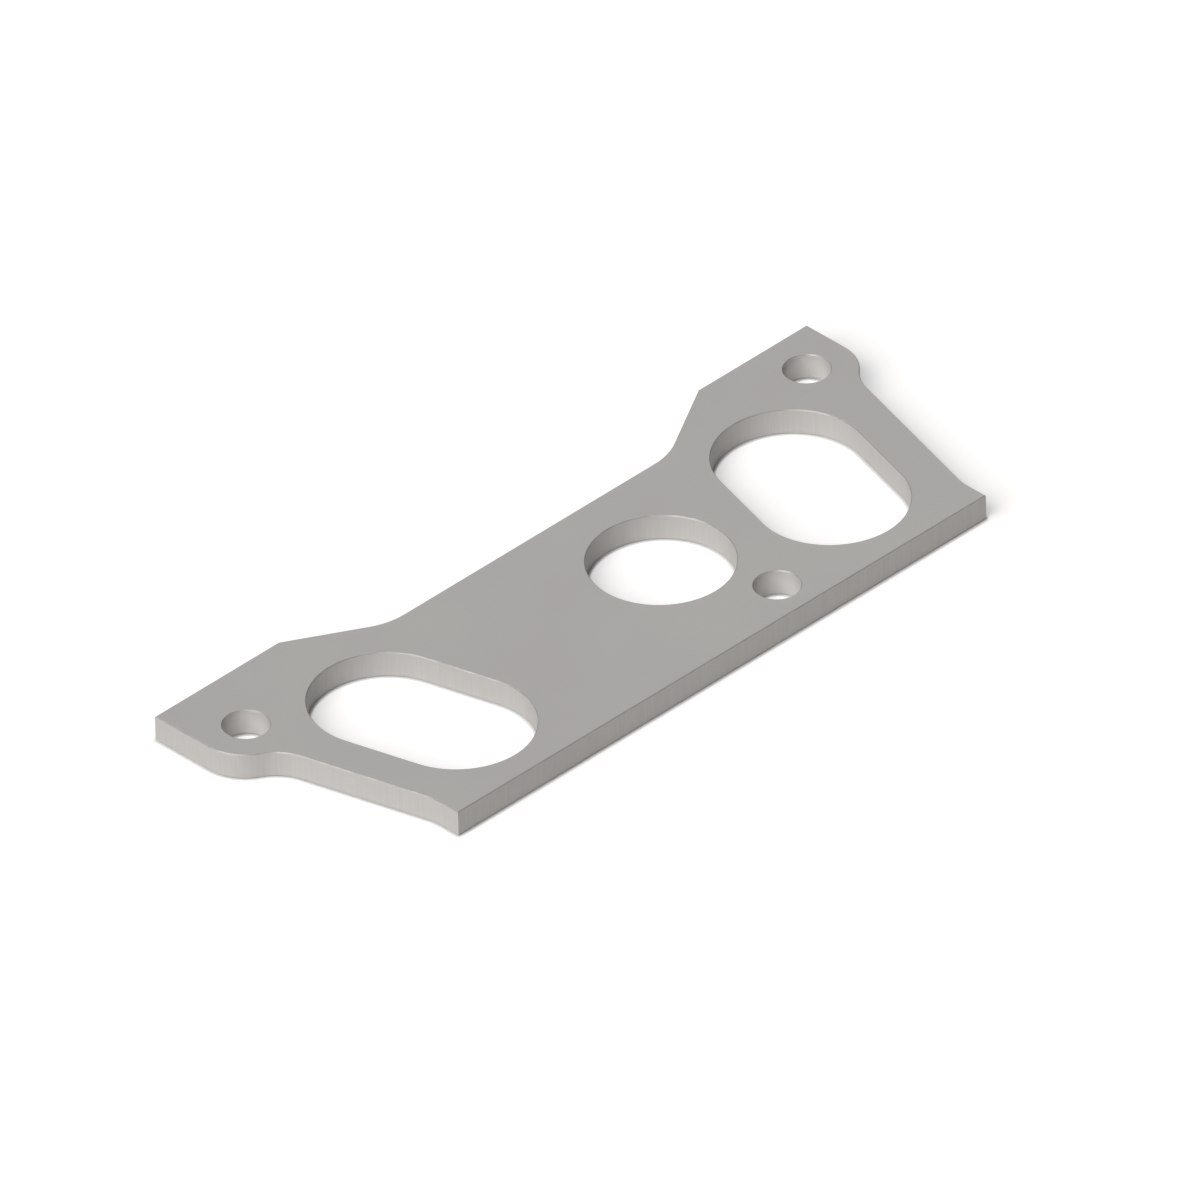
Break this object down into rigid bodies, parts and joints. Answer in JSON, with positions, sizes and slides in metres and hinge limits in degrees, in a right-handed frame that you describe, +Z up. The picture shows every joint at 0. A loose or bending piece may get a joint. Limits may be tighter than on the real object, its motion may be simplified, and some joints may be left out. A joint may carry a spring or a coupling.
{
  "type": "adapter plate",
  "caption": "Flat steel adapter plate with bolt ears, slanted obround slots, a round opening and bolt holes, for bolting unlike port faces together.",
  "frame": {"origin": "middle of the plate's box, on its underside", "axes": "+X along the straight front edge, +Y from the front edge towards the ears, +Z up out of the top face"},
  "size_m": [0.2, 0.0732, 0.0063],
  "materials": {
    "steel_plate": "satin, fine blasted faces and smooth cut edges"
  },
  "bodies": {
    "root": {"adapter_plate": "steel_plate"}
  },
  "joints": []
}
